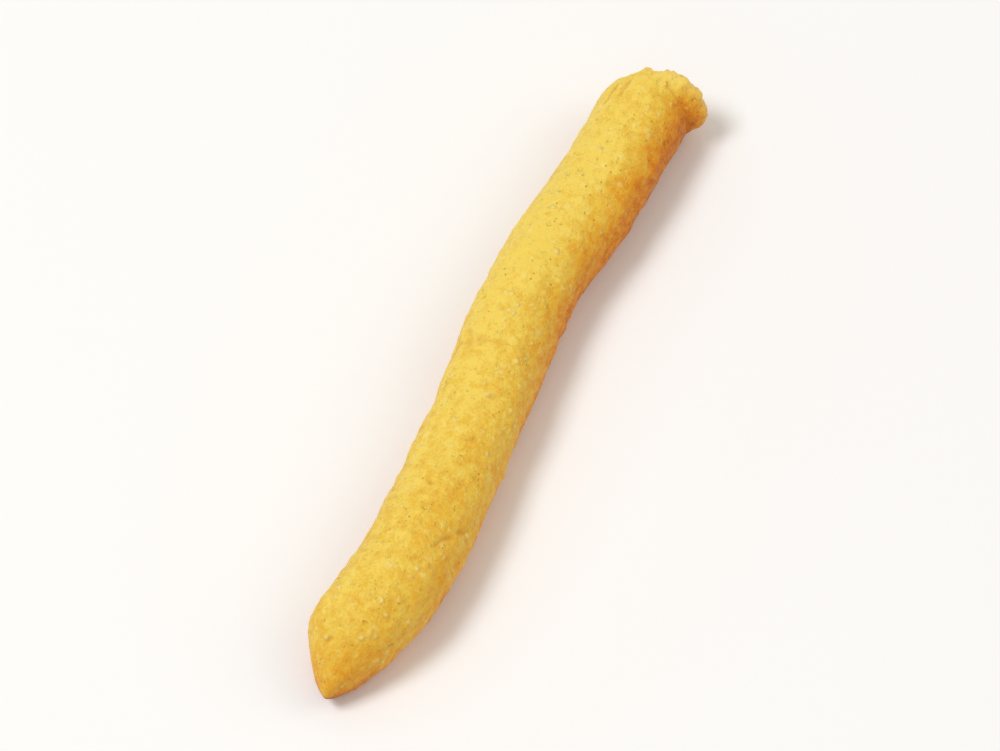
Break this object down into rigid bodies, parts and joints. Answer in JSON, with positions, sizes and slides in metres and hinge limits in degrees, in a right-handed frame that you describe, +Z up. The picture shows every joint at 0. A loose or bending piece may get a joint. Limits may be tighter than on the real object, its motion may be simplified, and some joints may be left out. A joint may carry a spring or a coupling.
{
  "type": "breadstick",
  "caption": "Short hand-rolled grissini breadstick: a slightly bent baked strand with a pinched tip, a cut end with a small beak, and the narrow flat its tray left.",
  "frame": {"origin": "on the tray flat's plane, under the middle of the strand's outline", "axes": "+X along the strand towards its cut end, +Z up off the tray, so the shown side is up and the pinched tip is at -X"},
  "size_m": [0.072, 0.0112, 0.0087],
  "materials": {
    "crust": "satin-matte baked crust, golden yellow on top and golden brown underneath"
  },
  "bodies": {
    "root": {"breadstick": "crust"}
  },
  "joints": []
}
